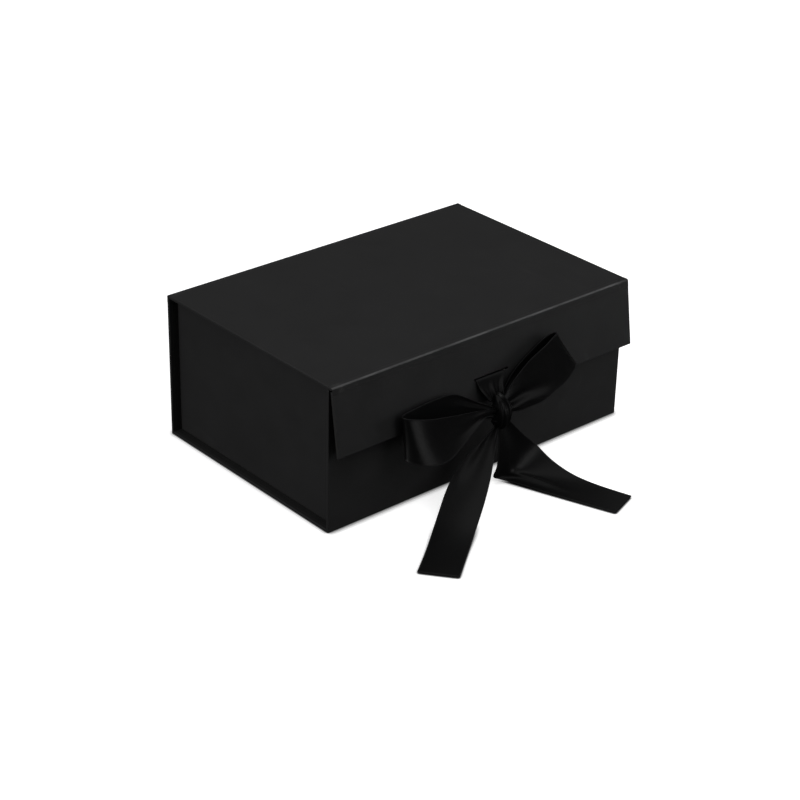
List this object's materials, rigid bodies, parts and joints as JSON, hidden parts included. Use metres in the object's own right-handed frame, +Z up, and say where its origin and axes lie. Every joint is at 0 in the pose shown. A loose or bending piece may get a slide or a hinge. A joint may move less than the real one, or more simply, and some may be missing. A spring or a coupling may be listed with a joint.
{
  "type": "gift box",
  "caption": "Rigid board gift box in black paper, with a hinged lid, a front flap with a ribbon slot, set-back side walls and a tied satin bow.",
  "frame": {"origin": "middle of the base's underside, on the surface that the box stands on", "axes": "+X along the long front towards its right end as seen from the front, -Y out of the front wall, +Z up"},
  "size_m": [0.25, 0.2556, 0.1],
  "materials": {
    "greyboard": "raw grey board",
    "wrap_paper": "matt laminated black paper",
    "liner_paper": "matt black paper",
    "tab_card": "black card",
    "adhesive_tape": "translucent double-sided tape",
    "nickel_steel": "nickel plated",
    "satin_ribbon": "black satin weave"
  },
  "bodies": {
    "tray": {"back_left_tab": "tab_card", "back_left_tape": "adhesive_tape", "back_right_tab": "tab_card", "back_right_tape": "adhesive_tape", "base_board": "greyboard", "base_liner": "liner_paper", "base_wrap": "wrap_paper", "front_board": "greyboard", "front_left_tab": "tab_card", "front_left_tape": "adhesive_tape", "front_liner": "liner_paper", "front_right_tab": "tab_card", "front_right_tape": "adhesive_tape", "front_wrap": "wrap_paper", "left_catch_disc": "nickel_steel", "left_side_board": "greyboard", "left_side_liner": "liner_paper", "left_side_wrap": "wrap_paper", "right_catch_disc": "nickel_steel", "right_side_board": "greyboard", "right_side_liner": "liner_paper", "right_side_wrap": "wrap_paper", "spine_board": "greyboard", "spine_liner": "liner_paper", "spine_wrap": "wrap_paper"},
    "lid": {"lid_board": "greyboard", "lid_liner": "liner_paper", "lid_wrap": "wrap_paper"},
    "flap": {"flap_board": "greyboard", "flap_liner": "liner_paper", "flap_wrap": "wrap_paper", "left_magnet": "nickel_steel", "right_magnet": "nickel_steel", "ribbon_anchor": "satin_ribbon", "ribbon_strap": "satin_ribbon", "bow_knot": "satin_ribbon", "left_loop": "satin_ribbon", "right_loop": "satin_ribbon"},
    "left_tail_end": {"left_tail": "satin_ribbon"},
    "right_tail_end": {"right_tail": "satin_ribbon"}
  },
  "joints": [
    {"name": "lid_hinge", "type": "hinge", "parent": "tray", "child": "lid", "pos_m": [0, 0.0815, 0.1], "axis": [-1, 0, 0], "range_deg": [0, 180]},
    {"name": "flap_hinge", "type": "hinge", "parent": "lid", "child": "flap", "pos_m": [0, -0.0845, 0.1], "axis": [-1, 0, 0], "range_deg": [-8.5, 90]},
    {"name": "left_tail_swing", "type": "hinge", "parent": "flap", "child": "left_tail_end", "pos_m": [-0.003, -0.10054, 0.04679], "axis": [-1, 0, 0], "range_deg": [-108, 10.2]},
    {"name": "right_tail_swing", "type": "hinge", "parent": "flap", "child": "right_tail_end", "pos_m": [-0.003, -0.10054, 0.04679], "axis": [-1, 0, 0], "range_deg": [-108, 10.2]}
  ],
  "couplings": [
    {"joint": "left_tail_swing", "follows": "flap_hinge", "ratio": -1.2},
    {"joint": "right_tail_swing", "follows": "flap_hinge", "ratio": -1.2}
  ]
}
